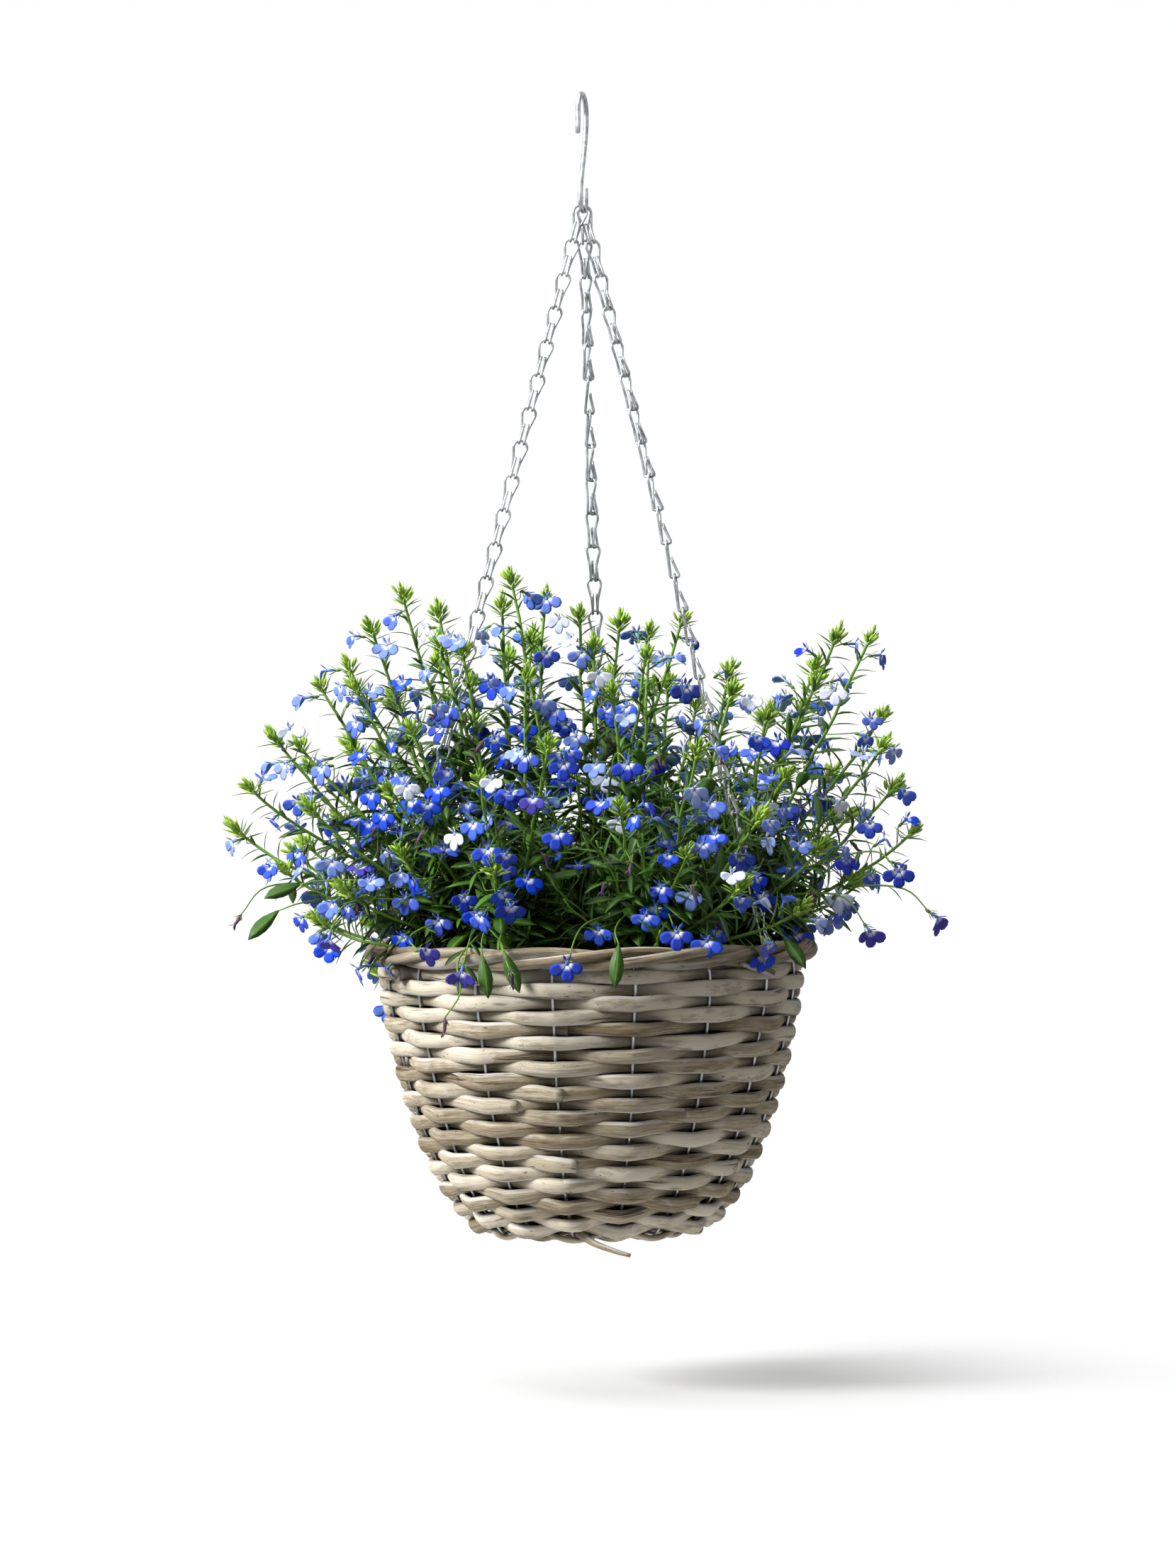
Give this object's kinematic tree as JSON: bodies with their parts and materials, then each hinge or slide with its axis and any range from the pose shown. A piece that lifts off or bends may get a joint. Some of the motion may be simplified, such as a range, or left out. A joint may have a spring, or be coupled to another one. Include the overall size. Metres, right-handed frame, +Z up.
{
  "type": "lobelia hanging basket",
  "caption": "Woven willow basket of blue lobelia, hung by chains from a wire hook on which it swings.",
  "frame": {"origin": "inside top of the hook's crook, the point it hangs by", "axes": "+Z up along the basket's axis; +X to the right and +Y to the back, seen from the front"},
  "size_m": [0.5008, 0.4087, 0.7596],
  "materials": {
    "galvanised_wire": "satin",
    "willow": "matte",
    "rim_willow": "matte",
    "polythene": "satin",
    "compost": "matte",
    "foliage": "satin",
    "petals": "matte"
  },
  "bodies": {
    "hook": {"hook": "galvanised_wire"},
    "basket": {"chain_back": "galvanised_wire", "chain_left": "galvanised_wire", "chain_right": "galvanised_wire", "wire_frame": "galvanised_wire", "woven_row_1": "willow", "woven_row_2": "willow", "woven_row_3": "willow", "woven_row_4": "willow", "woven_row_5": "willow", "woven_row_6": "willow", "woven_row_7": "willow", "woven_row_8": "willow", "woven_row_9": "willow", "woven_row_10": "willow", "woven_row_11": "willow", "woven_row_12": "willow", "woven_row_13": "willow", "woven_row_14": "willow", "woven_row_15": "willow", "woven_row_16": "willow", "woven_row_17": "willow", "woven_row_18": "willow", "woven_row_19": "willow", "woven_row_20": "willow", "woven_row_21": "willow", "woven_row_22": "willow", "woven_row_23": "willow", "rim_rod_1": "rim_willow", "rim_rod_2": "rim_willow", "rim_rod_3": "rim_willow", "woven_base": "willow", "liner": "polythene", "compost": "compost", "plant_1": "foliage", "plant_2": "foliage", "plant_3": "foliage", "plant_4": "foliage", "plant_5": "foliage", "plant_6": "foliage", "flower_1": "petals", "flower_2": "petals", "flower_3": "petals", "flower_4": "petals", "flower_5": "petals", "flower_6": "petals", "flower_7": "petals", "flower_8": "petals", "flower_9": "petals", "flower_10": "petals", "flower_11": "petals", "flower_12": "petals", "flower_13": "petals", "flower_14": "petals", "flower_15": "petals"}
  },
  "joints": [
    {"name": "basket_swing", "type": "hinge", "parent": "hook", "child": "basket", "pos_m": [0, 0, -0.0765], "axis": [0.2756, 0.9613, 0], "range_deg": [-20, 20]}
  ]
}
